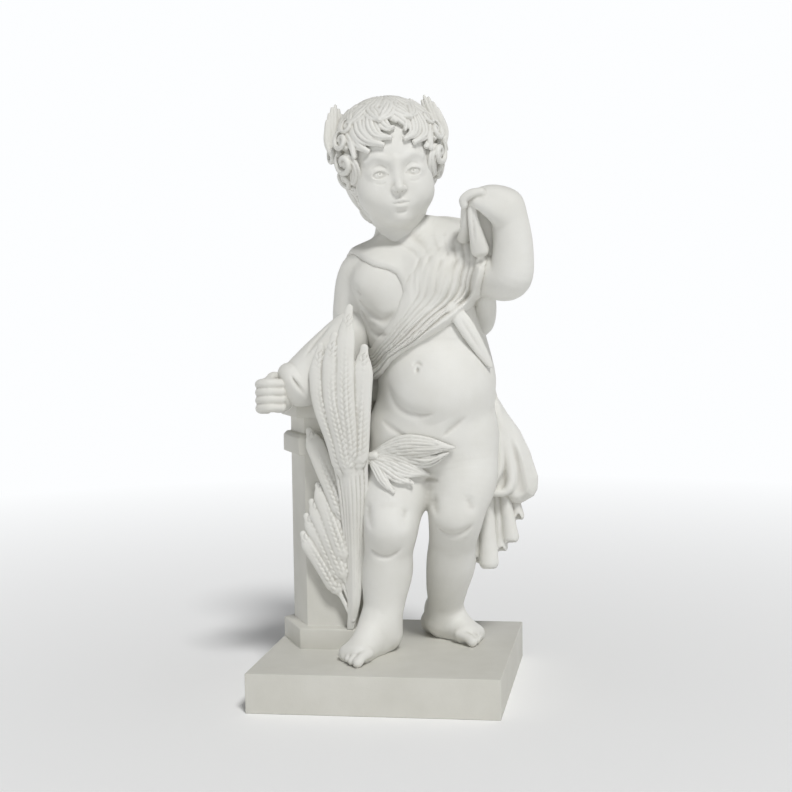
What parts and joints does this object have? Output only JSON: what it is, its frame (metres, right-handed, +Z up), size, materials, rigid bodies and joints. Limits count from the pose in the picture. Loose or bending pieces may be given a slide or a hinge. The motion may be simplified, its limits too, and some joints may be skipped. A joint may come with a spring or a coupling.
{
  "type": "stone putto statue",
  "caption": "Carved stone statue of a standing child in a loose cloak, one arm raised, leaning on a six-sided pillar with a sheaf of wheat, on a square plinth.",
  "frame": {"origin": "middle of the plinth's flat underside", "axes": "+Z up through the figure; the figure faces -Y; its own right side, with the pillar, is at -X"},
  "size_m": [0.5356, 0.45, 1.1677],
  "materials": {
    "marble": "honed, slightly weathered"
  },
  "bodies": {
    "root": {"putto_statue": "marble"}
  },
  "joints": []
}
